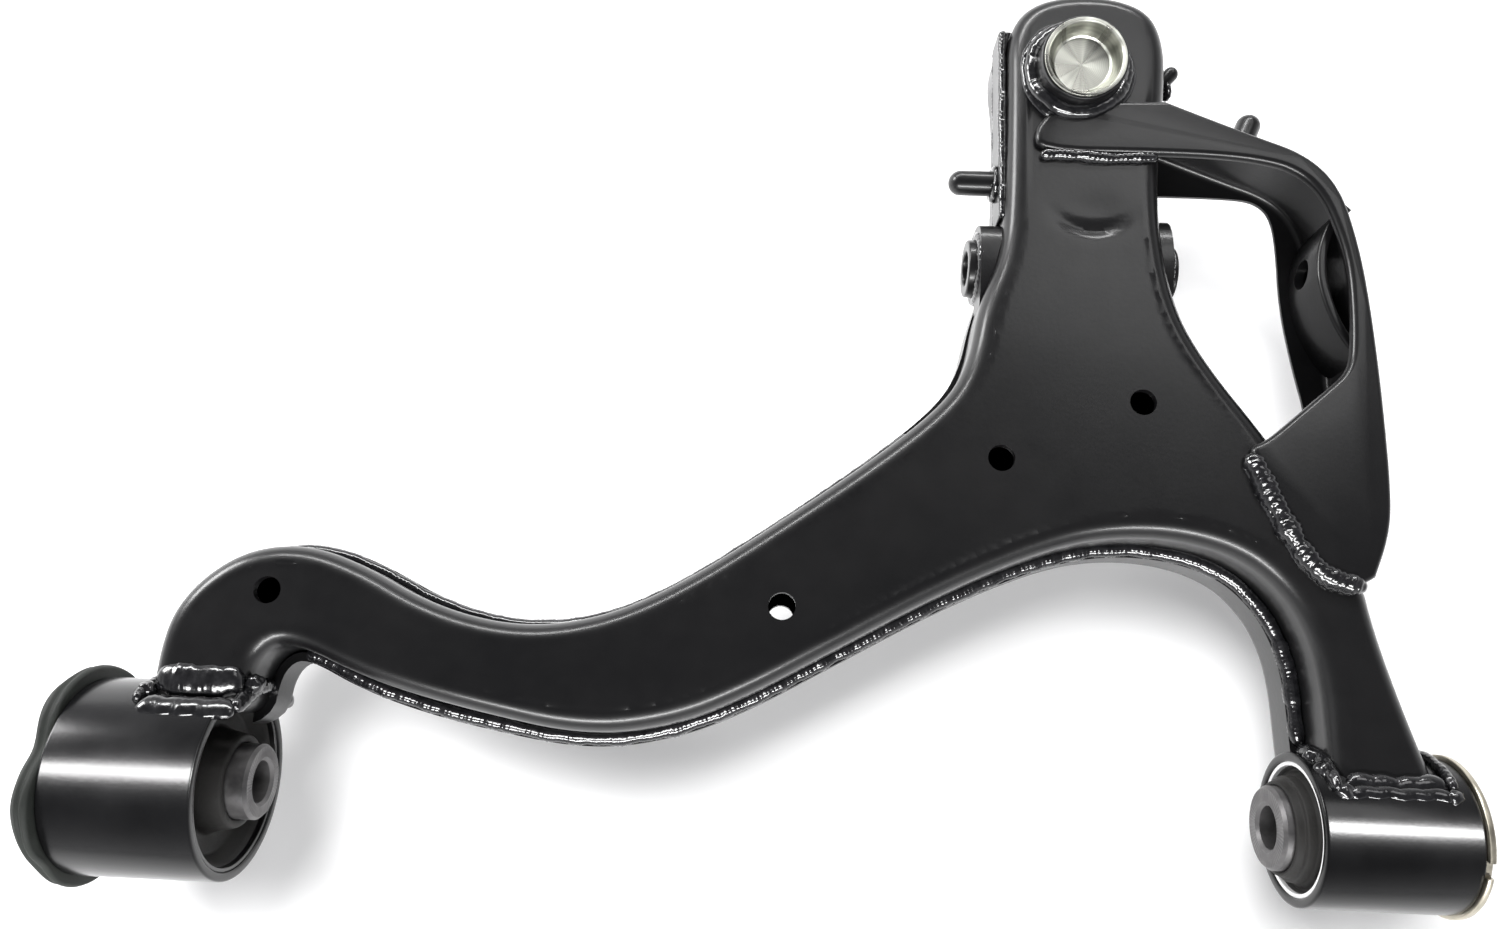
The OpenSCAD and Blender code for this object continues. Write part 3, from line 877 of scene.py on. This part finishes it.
LOOP_EDGE = [(-75, 293), (-64, 288.5), (-40, 279), (-18, 271), (-5, 257), (1, 232), (4, 205),
             (6, 165), (6.5, 125), (4, 110), (-2, 95)]
FLANGE_EDGE = [(-8, 91.5), (-17, 94), (-23.5, 99.5), (-27, 105), (-33.5, 117), (-43, 134.5),
               (-48, 144.5), (-40.5, 147.3), (-27.5, 158.8), (-12.5, 172.2), (-8.6, 176.2), (-6, 181),
               (-4.8, 188), (-4, 202), (-4, 218), (-5.5, 230), (-8.4, 241), (-11.5, 250), (-16, 257),
               (-22, 262), (-30, 265.5), (-48, 268.2), (-80, 268.8), (-128, 268), (-130, 278),
               (-122, 288), (-100, 292)]
LOWER_EDGE = [(-14, 100), (-7, 135), (-8.5, 169), (-13, 190), (-17, 217), (-17, 246), (-19, 260),
              (-25, 266), (-36, 267.5), (-75, 267.5)]
PLATE_T = 3.5
LINK_BOW = [(3, 183), (-4, 191), (-9.8, 203), (-13.1, 217), (-13.1, 226), (-11.8, 235), (-7, 246),
            (0, 253)]
LINK_Y, LINK_Z, LINK_R, LINK_T = 227, 3.5, 6.2, 4.0


def slab(plan, low, high, r_low, r_high, steps=5):
    """Upright prism over a clockwise plan with rounded lower and upper edges."""
    rings = []
    for i in range(steps + 1):
        a = math.pi / 2 * (1 - i / steps)
        if r_low > 0 or i == steps:
            rings.append(ring_at(inset(plan, r_low * (1 - math.cos(a))), low + r_low * (1 - math.sin(a))))
    for i in range(steps + 1):
        a = math.pi / 2 * i / steps
        if r_high > 0 or i == 0:
            rings.append(ring_at(inset(plan, r_high * (1 - math.cos(a))), high - r_high * (1 - math.sin(a))))
    bm = bmesh.new()
    loft(bm, rings)
    return bm


def beside(p, d):
    """Open line moved to the right of its direction by d."""
    a = np.vstack([p[:1], p[:-1]])
    b = np.vstack([p[1:], p[-1:]])
    t = unit_rows(b - a)
    return p - np.stack([-t[:, 1], t[:, 0]], 1) * d


def build_bracket():
    """Flat top plate with a rounded edge, and the channel below it that opens inward."""
    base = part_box("stabiliser_bracket")[0].z / MM
    loop = resample(softened(LOOP_EDGE, 3, closed=False), 2.0, closed=False)
    plate = resample(np.vstack([loop, softened(FLANGE_EDGE, 2, closed=False)]), 1.6)
    bm = slab(plate, TOP + 0.02, TOP + PLATE_T, 0.25, 2.4)
    top = finish_mesh("bracket_top", bm, PAINT, node="stabiliser_bracket")
    cut_with(top, [rod_cutter(BALL, -STUD_DOWN, -FAR, FAR, CUP_R + 0.1)], 42)

    block = resample(np.vstack([loop, softened(LOWER_EDGE, 2, closed=False)]), 1.8)
    bm = slab(block, base, TOP + 1.4, 2.6, 0)
    channel = finish_mesh("bracket_channel", bm, PAINT, node="stabiliser_bracket")
    inner = beside(loop, PLATE_T)
    hollow = resample(np.vstack([inner, [(-20, 80), (-100, 80), (-100, inner[0][1])]]), 1.8)
    cutters = [cutter_from(slab(hollow, base + PLATE_T, TOP + 30, 3.0, 0)),
               cutter_from(slab(inset(LOWER_PLAN, -SHEET), -FAR, LAP_Z, 0, 0)),
               cutter_from(slab(PLAN, -FAR, TOP + 10, 0, 0))]
    cut_with(channel, cutters, 42)


def ease_edges(piece, width, segments, angle):
    bevel = piece.modifiers.new("edge", "BEVEL")
    bevel.width = width * MM
    bevel.segments = segments
    bevel.angle_limit = math.radians(angle)


def build_link_plate():
    """Bowed wall on the bottom flange with the link bolt's hole."""
    low, high = mm_box("link_plate")
    bow = resample(softened(LINK_BOW, 3, closed=False), 1.2, closed=False)
    plan = np.vstack([bow, beside(bow, LINK_T)[::-1]])
    piece = finish_mesh("link_wall", slab(plan, low[2], high[2], 0, 1.3), PAINT, node="link_plate")
    cut_with(piece, [rod_cutter((-20, LINK_Y, LINK_Z), (1, 0, 0), 0, 20, LINK_R, 64)], 35)
    ease_edges(piece, 0.5, 2, 60)


def build_tube_and_plates():
    profile = [(TUBE_R, 0), (TUBE_R, TUBE_LEN), (7.2, TUBE_LEN), (7.2, 0)]
    place = axis_frame((TUBE_LOW[0], TUBE[1], TUBE[2]), (1, 0, 0))
    ring_piece("cross_tube", "damper_tube", profile, place, PAINT, radius=0.9, turns=96)
    for node in ("left_tube_doubler", "right_tube_doubler", "neck_side_plate"):
        eased_copy(node)


def eased_copy(node):
    """A copy of a flat CAD plate with eased edges."""
    bm = bmesh.new()
    bm.from_mesh(frame["nodes"][node].data)
    bmesh.ops.remove_doubles(bm, verts=bm.verts, dist=1e-6)
    bmesh.ops.dissolve_limit(bm, angle_limit=math.radians(1), verts=bm.verts, edges=bm.edges)
    bmesh.ops.scale(bm, vec=(1 / MM, 1 / MM, 1 / MM), verts=bm.verts)
    ease_edges(finish_mesh(node + "_eased", bm, PAINT, node=node), 0.8, 3, 50)


BRACKET_PIN = (-38.3, 278.1, 0)
BRACKET_PIN_LEAN = -22
NECK_STUD = (-74, 308, 5)
NECK_STUD_TURN = (-42, -76)


def build_pins():
    """Round-ended pins, each a turned piece."""
    low, high = mm_box("side_pin")
    r = (high[2] - low[2]) / 2
    y, z = (low[1] + high[1]) / 2, (low[2] + high[2]) / 2
    pin_from("side_pin_round", "side_pin", (high[0], y, z), (-1, 0, 0), high[0] - low[0], r)
    lean = math.radians(BRACKET_PIN_LEAN)
    way = (-math.sin(lean), math.cos(lean), 0)
    pin_from("bracket_pin_round", "bracket_pin", BRACKET_PIN, way, 26, r)
    about_z, about_x = (math.radians(a) for a in NECK_STUD_TURN)
    turn = Matrix.Rotation(about_z, 3, "Z") @ Matrix.Rotation(about_x, 3, "X")
    pin_from("neck_stud_round", "neck_stud", NECK_STUD, turn @ Vector((0, 0, 1)), 15, 3.2)


def pin_from(name, node, start, way, length, r):
    profile = [(0, 0), (r, 0), (r, length - r)]
    for k in range(1, 10):
        a = math.radians(10 * k)
        profile.append((r * math.cos(a), length - r + r * math.sin(a)))
    finish_mesh(name, lathe(profile, axis_frame(start, way), 48, closed=False), PAINT, "arm", 50, node)


build_bracket()
build_link_plate()
build_tube_and_plates()
build_pins()

# ---- weld beads


def wobble(x, seed, scale=1.0):
    return noise.noise(Vector((x * scale, seed * 7.31, seed * 1.7)))


BEAD_STEP = 0.55
BEAD_SIDES = 18


def bead_ring(centre, along, up, s, end, radius, seed, pitch, lumps, tall, ripple):
    """One ring of a bead at a run s along it; end below 1 draws the bead in where it stops."""
    up = (up - along * up.dot(along)).normalized()
    across = along.cross(up)
    width = radius * (1 + lumps * wobble(s, seed, 0.16) + 0.3 * lumps * wobble(s, seed + 3, 0.5)) * end
    shift = across * (radius * 0.16 * wobble(s, seed + 5, 0.12))
    ring = []
    for k in range(BEAD_SIDES):
        c = 2 * math.pi * k / BEAD_SIDES
        phase = (s + 0.55 * width * math.cos(c) ** 2 + 0.5 * wobble(s + 9 * k, seed, 0.3)) / pitch
        crest = 1 - abs(2 * (phase % 1.0) - 1) ** 1.6
        grain = 0.05 * noise.noise(Vector((s * 0.9, c * 1.5, seed)))
        q = width * (1.0 - 0.8 * ripple + ripple * crest + grain)
        ring.append(centre + shift + across * (q * math.cos(c)) + up * (q * tall * math.sin(c)))
    return ring


def bead(name, path, radius, seed, ups, pitch=2.1, closed=False, lumps=0.16, tall=0.8, ripple=0.13):
    """Lumpy weld bead swept along a path with overlapping, curved ripples.

    ups is one direction, or one per path point, in which the bead crowns."""
    points = np.array(path, float)
    ups = np.array(ups, float)
    if ups.ndim == 1:
        ups = np.tile(ups, (len(points), 1))
    joined = resample(np.hstack([points, ups]), BEAD_STEP, closed)
    points, ups = joined[:, :3], joined[:, 3:]
    count = len(points)
    length = count * BEAD_STEP
    rings = []
    for i in range(count):
        a = points[(i - 1) % count] if closed or i else points[0]
        b = points[(i + 1) % count] if closed or i < count - 1 else points[-1]
        s = i * BEAD_STEP
        end = 1.0
        if not closed:
            gap = min(s, length - s)
            end = math.sqrt(max(0.02, 1 - (1 - min(1, gap / (radius * 1.3))) ** 2))
        along = Vector(b - a).normalized()
        rings.append(bead_ring(Vector(points[i]), along, Vector(ups[i]), s, end, radius, seed, pitch,
                               lumps, tall, ripple))
    if closed:
        rings.append(rings[0])
    bm = bmesh.new()
    loft(bm, rings, cap=(not closed, not closed))
    bmesh.ops.remove_doubles(bm, verts=bm.verts, dist=1e-4)
    finish_mesh(name, bm, WELD, "arm", 80)


def ring_path(place, radius, turns, sway=0.0):
    out = []
    for k in range(turns):
        a = math.radians(360 * k / turns)
        r = radius + sway * math.sin(3 * a + 1)
        out.append(tuple(place @ Vector((r * math.cos(a), r * math.sin(a), 0))))
    return out


def plan_stretch(plan, start, end):
    """Points of a closed clockwise plan from the one nearest start to the one nearest end."""
    i = int(np.argmin(((plan - np.array(start)) ** 2).sum(1)))
    j = int(np.argmin(((plan - np.array(end)) ** 2).sum(1)))
    return plan[i:j + 1] if i <= j else np.vstack([plan[i:], plan[:j + 1]])


def lap_bead(name, start, end, seed, out=1.3, radius=2.3):
    """Bead along the ledge where the lower pressing's walls lap the upper ones."""
    line = plan_stretch(inset(LOWER_PLAN, -out), start, end)
    along = unit_rows(np.gradient(line, axis=0))
    outward = -to_right(along)
    ups = [(0.35 * n[0], 0.35 * n[1], 0.9) for n in outward]
    path = [(x, y, LAP_Z + 0.4) for x, y in line]
    bead(name, path, radius, seed, ups, pitch=1.7, tall=0.75, lumps=0.2, ripple=0.1)


REAR = (REAR_X, REAR_R)
FRONT = (0, FRONT_R)


def housing_line(x0, x1, housing, degrees, lift=0.4, sway=0.0, count=40):
    """Line along a housing at an angle above the horizontal, seen along the pivot axis."""
    centre_x, r = housing
    out = []
    for k in range(count + 1):
        a = math.radians(degrees + sway * math.sin(k * 0.7) + 0.6 * sway * math.sin(k * 0.31 + 1))
        x = centre_x + x0 + (x1 - x0) * k / count
        out.append((x, (r + lift) * math.cos(a), (r + lift) * math.sin(a)))
    return out


def housing_arc(x, housing, low, high, lift=0.5, count=24):
    """Arc round a housing at one station along its axis."""
    centre_x, r = housing
    angles = [math.radians(low + (high - low) * k / count) for k in range(count + 1)]
    return [(centre_x + x, (r + lift) * math.cos(a), (r + lift) * math.sin(a)) for a in angles]


def blob(name, place, radius, seed, tall=0.8):
    """Round lump of weld metal."""
    bm = bmesh.new()
    bmesh.ops.create_icosphere(bm, subdivisions=4, radius=radius)
    for v in bm.verts:
        v.co *= 1 + 0.16 * noise.noise(v.co * (1.6 / radius) + Vector((seed, 2.3 * seed, 0)))
        v.co.z *= tall
        v.co += Vector(place)
    finish_mesh(name, bm, WELD, "arm", 80)


def weld_cup():
    """Two heavy rings round the joint cup, the inner one heaped up on the arm's side."""
    level = TOP + 1.6
    heap_y = 300
    down = Vector(STUD_DOWN)
    ring = []
    for x, y, z in ring_path(at_ball(), CUP_R + 1.6, 150, sway=0.5):
        q = Vector((x, y, z)) - down * ((level - z) / (-down.z))
        ring.append((q.x, q.y, level if q.y > heap_y else level + min(2.2, (heap_y - q.y) * 0.25)))
    bead("weld_cup", ring, 3.6, 1, (0, 0, 1), pitch=3.4, closed=True, lumps=0.14, ripple=0.02)
    wide = [(x + (x - BALL[0]) * 0.10, y + (y - BALL[1] + 4) * 0.10, TOP + 0.4) for x, y, z in ring]
    bead("weld_cup_outer", wide, 2.8, 7, (0, 0, 1), pitch=3.1, closed=True, lumps=0.2, tall=0.6, ripple=0.03)


def weld_bracket():
    """Two passes over the end of the bracket's top plate, and a bead along its edge on the neck."""
    edge = [(-4.5, 91.5), (-17, 93.5), (-27, 101.5), (-38, 123.5), (-46.5, 142.5)]
    line = resample(softened(edge, 2, closed=False), 2.0, closed=False)
    toward = (-0.4, -0.3, 1)
    path = [(x - 0.6, y - 0.5, TOP + 1.2) for x, y in line]
    bead("weld_bracket_end", path, 4.2, 11, toward, pitch=2.8, lumps=0.28, tall=0.85)
    path = [(x - 2.4, y - 1.2, TOP + 0.4) for x, y in line[3:-2]]
    bead("weld_bracket_pass", path, 2.6, 14, toward, pitch=2.2, lumps=0.4, tall=0.7)
    path = [(-127 + 1.55 * k, 267.2 + 0.5 * math.sin(k / 4), TOP + 1.2) for k in range(32)]
    bead("weld_bracket_neck", path, 2.4, 17, (0, -0.5, 1), pitch=1.9, lumps=0.35)


def weld_laps():
    lap_bead("weld_lap_inner", (-22, 32), (-418, 52), 21, 0.4, 3.1)
    lap_bead("weld_lap_outer", (-466, 52), (-175, 150), 23)
    lap_bead("weld_lap_end", (-139, 330), (-73, 300), 25, 1.0, 2.1)


def weld_rear_housing():
    path = [(x, y + 6.5, TOP - 2.4) for x, y, z in housing_line(0, 34, REAR, 36, 0, 0.3)]
    bead("weld_rear_fillet", path, 7.6, 32, (0, 0, 1), pitch=6, lumps=0.05, tall=0.6, ripple=0.005)
    bead("weld_rear_top", housing_line(-2, 35, REAR, 45, 0, 0.4), 4.4, 31, (0, 0.5, 1), pitch=5,
         lumps=0.08, tall=0.5, ripple=0.01)
    bead("weld_rear_low", housing_line(-5, 36, REAR, -33), 3.2, 33, (0, 0.2, -1), pitch=2.6)
    bead("weld_rear_side", housing_arc(35.0, REAR, -36, 44, -0.9), 3.2, 35, (1, 0.4, 0), pitch=2.6,
         lumps=0.15, ripple=0.03)
    bead("weld_rear_far", housing_arc(-3.4, REAR, -36, 42), 2.6, 36, (-1, 0.5, 0), pitch=2.4, lumps=0.3)


def weld_front_housing():
    bead("weld_front_top", housing_line(-18, 20, FRONT, 58, -0.2, 0.6), 2.6, 41, (0, 0.3, 1), pitch=4,
         lumps=0.14, tall=0.6, ripple=0.01)
    path = [(x, y - 1.4, TOP - 0.6) for x, y, z in housing_line(-18, 20, FRONT, 48, 0, 1)]
    bead("weld_front_fillet", path, 4.2, 42, (0, 0, 1), pitch=4, lumps=0.1, tall=0.7, ripple=0.01)
    bead("weld_front_low", housing_line(-22, 22, FRONT, -46), 2.8, 43, (0, 0.2, -1), pitch=2.4)
    bead("weld_front_side", housing_arc(-21.8, FRONT, -44, 58), 3.0, 45, (-1, 0.5, 0), pitch=2.4,
         lumps=0.2, ripple=0.04)
    bead("weld_front_far", housing_arc(21.2, FRONT, -44, 54), 2.6, 47, (1, 0.5, 0), pitch=2.4, lumps=0.3)


def weld_lumps():
    """Starts and stops of the housing beads."""
    lumps = (((-19, 15, 24), 3.6), ((-22.5, 22, 18), 4.2), ((-23.5, 27, 11), 3.6),
             ((20.5, 14.5, 24.6), 3.2), ((-428, 37, 17), 3.8), ((-467, 33, 21), 3.4))
    for k, (place, size) in enumerate(lumps):
        blob("weld_lump_%d" % k, place, size, k + 1)


def weld_small_pieces():
    """Beads round the cross tube, along the neck's side plate, and round its pin and stud."""
    for name, x, way, seed in (("weld_tube_left", -149.2, -1, 51), ("weld_tube_right", -71.2, 1, 53)):
        place = axis_frame((x, TUBE[1], TUBE[2]), (way, 0, 0))
        path = ring_path(place, TUBE_R + 1.2, 90)
        bead(name, path, 2.3, seed, (way, 0, 0), pitch=2.0, closed=True, lumps=0.35)
    low, high = mm_box("neck_side_plate")
    x = low[0] + 1.4
    stations = range(int((high[1] - low[1]) / 3) + 1)
    for name, z, side, radius, seed in (("weld_side_plate", high[2] + 0.6, 1, 1.7, 55),
                                        ("weld_side_plate_low", low[2] - 0.4, -1, 1.6, 56)):
        edge = [(x, low[1] + 3 * k, z) for k in stations]
        bead(name, edge, radius, seed, (-0.5, 0, side), pitch=1.8, lumps=0.35)
    pin = named(frame["record"]["mounts"], "side_locating_pin")["pos_m"]
    place = axis_frame((low[0] - 0.6, pin[1] / MM, pin[2] / MM), (-1, 0, 0))
    bead("weld_side_pin", ring_path(place, 5.8, 40), 2.0, 57, (-1, 0, 0), pitch=1.9, closed=True, lumps=0.5)
    place = axis_frame((-68.0, 309.5, 6), (1, 0.2, 0))
    bead("weld_neck_stud", ring_path(place, 2.6, 30), 1.5, 59, (1, 0, 0), pitch=1.7, closed=True, lumps=0.6)


weld_cup()
weld_bracket()
weld_laps()
weld_rear_housing()
weld_front_housing()
weld_lumps()
weld_small_pieces()

# ---- floor, light and camera

FLOOR_GLOW = 0.17
WORLD_POWER = 0.9
ARM_MIDDLE = (-0.2, 0.1, 0)
HOUSING_TUBES = ["rear_housing_tube", "front_housing_tube"]
LENS_MM = 26.47
SENSOR_MM = 36
LENS_SHIFT = 0.0337
EYE = (-0.2313, 0.0230, 0.4425)
EYE_RIGHT = (0.9990, 0.0436, -0.0134)
EYE_UP = (-0.0400, 0.9783, 0.2034)
EYE_BACK = (0.022, -0.2026, 0.979)


def floor_material():
    m = Nodes("pale_floor", Metallic=0.0, Specular_IOR_Level=0.2, Emission_Strength=FLOOR_GLOW)
    m.clouds(m.place(), (3, 2, 0.5), ((0.86, 0.86, 0.865), (0.89, 0.89, 0.89)), rough=(0.75, 0.85))
    m.link(m.tint, "Color", m.shader, "Emission Color")
    return m.material


def build_floor():
    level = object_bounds()[0].z
    half = 4.0
    mesh = bpy.data.meshes.new("floor")
    corners = [(-half, -half, level), (half, -half, level), (half, half, level), (-half, half, level)]
    mesh.from_pydata(corners, [], [(0, 1, 2, 3)])
    mesh.materials.append(floor_material())
    floor = bpy.data.objects.new("floor", mesh)
    bpy.context.scene.collection.objects.link(floor)


def softbox(name, place, target, width, depth, power, only=()):
    """Rectangular light; with names in only, it lights just those objects."""
    light = bpy.data.lights.new(name, "AREA")
    light.shape = "RECTANGLE"
    light.size = width
    light.size_y = depth
    light.energy = power
    lamp = bpy.data.objects.new(name, light)
    lamp.location = place
    aim = Vector(target) - Vector(place)
    lamp.rotation_euler = aim.to_track_quat("-Z", "Y").to_euler()
    bpy.context.scene.collection.objects.link(lamp)
    if only:
        lit = bpy.data.collections.new(name + "_lit")
        for piece in only:
            lit.objects.link(bpy.data.objects[piece])
        lamp.light_linking.receiver_collection = lit


def build_world():
    """White near the horizon and dark overhead, as in a small photo tent with an open top."""
    world = bpy.data.worlds.new("studio")
    world.use_nodes = True
    tree = world.node_tree
    backdrop = tree.nodes["Background"]
    coords = tree.nodes.new("ShaderNodeTexCoord")
    split = tree.nodes.new("ShaderNodeSeparateXYZ")
    ramp = tree.nodes.new("ShaderNodeValToRGB")
    tree.links.new(coords.outputs["Generated"], split.inputs["Vector"])
    tree.links.new(split.outputs["Z"], ramp.inputs["Fac"])
    stops = ramp.color_ramp.elements
    stops[0].position = 0.05
    stops[0].color = (1.0, 1.0, 1.02, 1)
    stops[1].position = 0.62
    stops[1].color = (0.15, 0.15, 0.155, 1)
    tree.links.new(ramp.outputs["Color"], backdrop.inputs["Color"])
    backdrop.inputs["Strength"].default_value = WORLD_POWER
    bpy.context.scene.world = world


def build_lights():
    """Narrow bands for the round housings, strips for the flat sheets and welds, a key for the floor."""
    pieces = [o.name for o in bpy.context.scene.objects if o.type == "MESH"]
    sheets = [name for name in pieces if name not in HOUSING_TUBES + ["floor"]]
    welds = [name for name in sheets if name.startswith("weld_")]
    softbox("left_band", (-1.30, 0.20, 1.6), (-1.30, 0.20, 0), 1.5, 0.38, 105, HOUSING_TUBES[:1])
    softbox("right_band", (0.90, 0.22, 1.6), (0.90, 0.22, 0), 1.3, 0.34, 115, HOUSING_TUBES)
    softbox("neck_glow", (0.65, 1.15, 1.6), (0.65, 1.15, 0), 0.9, 0.7, 5.5)
    softbox("side", (-2.6, 1.5, 1.0), ARM_MIDDLE, 1.0, 0.8, 60)
    softbox("front", (-0.2, -2.2, 1.5), ARM_MIDDLE, 2.8, 0.32, 110, sheets)
    softbox("weld_light", (-0.5, -1.0, 1.9), ARM_MIDDLE, 1.6, 0.4, 60, welds)
    softbox("back", (-0.5, 2.5, 1.6), ARM_MIDDLE, 3.0, 0.26, 75, sheets)
    softbox("floor_key", (-0.60, 0.52, 1.5), (-0.25, 0.1, 0), 0.8, 0.8, 46, ["floor"])


def build_camera():
    camera = bpy.data.cameras.new("camera")
    camera.lens = LENS_MM
    camera.sensor_width = SENSOR_MM
    camera.shift_y = LENS_SHIFT
    camera.clip_start = 0.01
    eye = bpy.data.objects.new("camera", camera)
    turn = Matrix((EYE_RIGHT, EYE_UP, EYE_BACK)).transposed().to_4x4()
    eye.matrix_world = Matrix.Translation(EYE) @ turn
    bpy.context.scene.collection.objects.link(eye)
    bpy.context.scene.camera = eye


build_floor()
build_world()
build_lights()
bpy.context.scene.view_settings.view_transform = "Standard"
build_camera()
